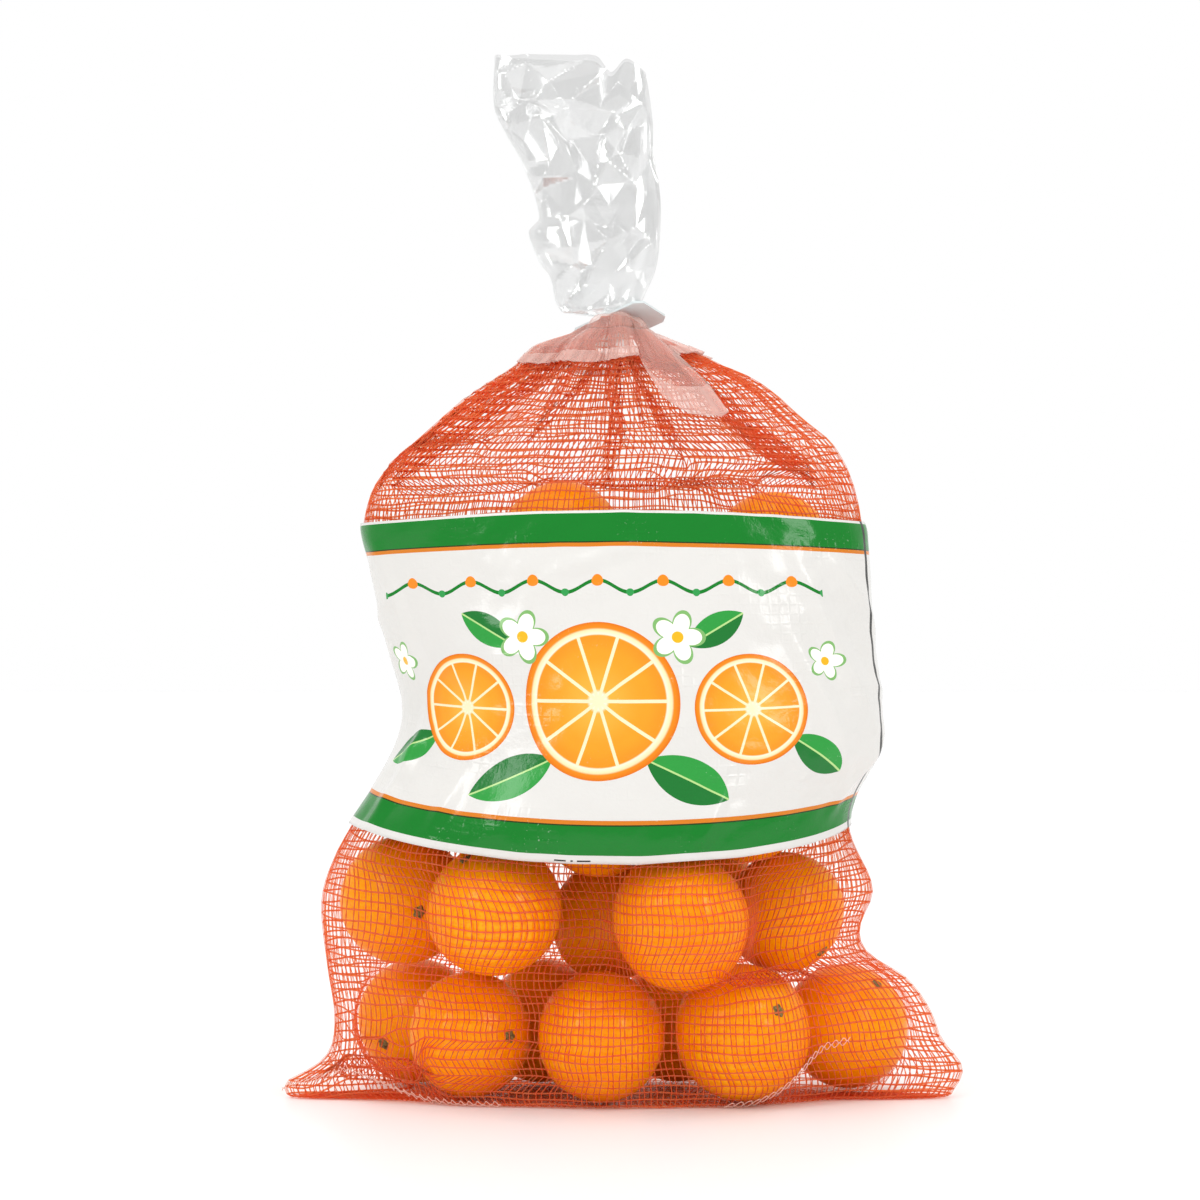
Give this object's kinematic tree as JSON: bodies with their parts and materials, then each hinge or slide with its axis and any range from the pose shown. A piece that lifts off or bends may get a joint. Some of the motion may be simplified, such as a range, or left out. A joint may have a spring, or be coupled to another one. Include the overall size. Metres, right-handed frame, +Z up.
{
  "type": "net bag of mandarins",
  "caption": "Standing woven net bag full of mandarins with a printed film band round the middle and a clear film top gathered through a flat plastic clip.",
  "frame": {"origin": "middle of the base, on the surface that the bag stands on", "axes": "+Z up along the bag, +X to the right of the printed front, which faces -Y"},
  "size_m": [0.2729, 0.1281, 0.423],
  "materials": {
    "woven_net": "slightly shiny plastic tape, open leno weave",
    "mandarin_peel": "waxy, pitted with oil glands, satin",
    "printed_film": "white printed film, glossy",
    "clear_film": "clear crumpled film, glossy",
    "white_clip": "cut sheet plastic, satin"
  },
  "bodies": {
    "root": {"net_bag": "woven_net", "label_band": "printed_film", "film_skirt": "clear_film", "neck_film": "clear_film", "closure_clip": "white_clip"}
  },
  "joints": []
}
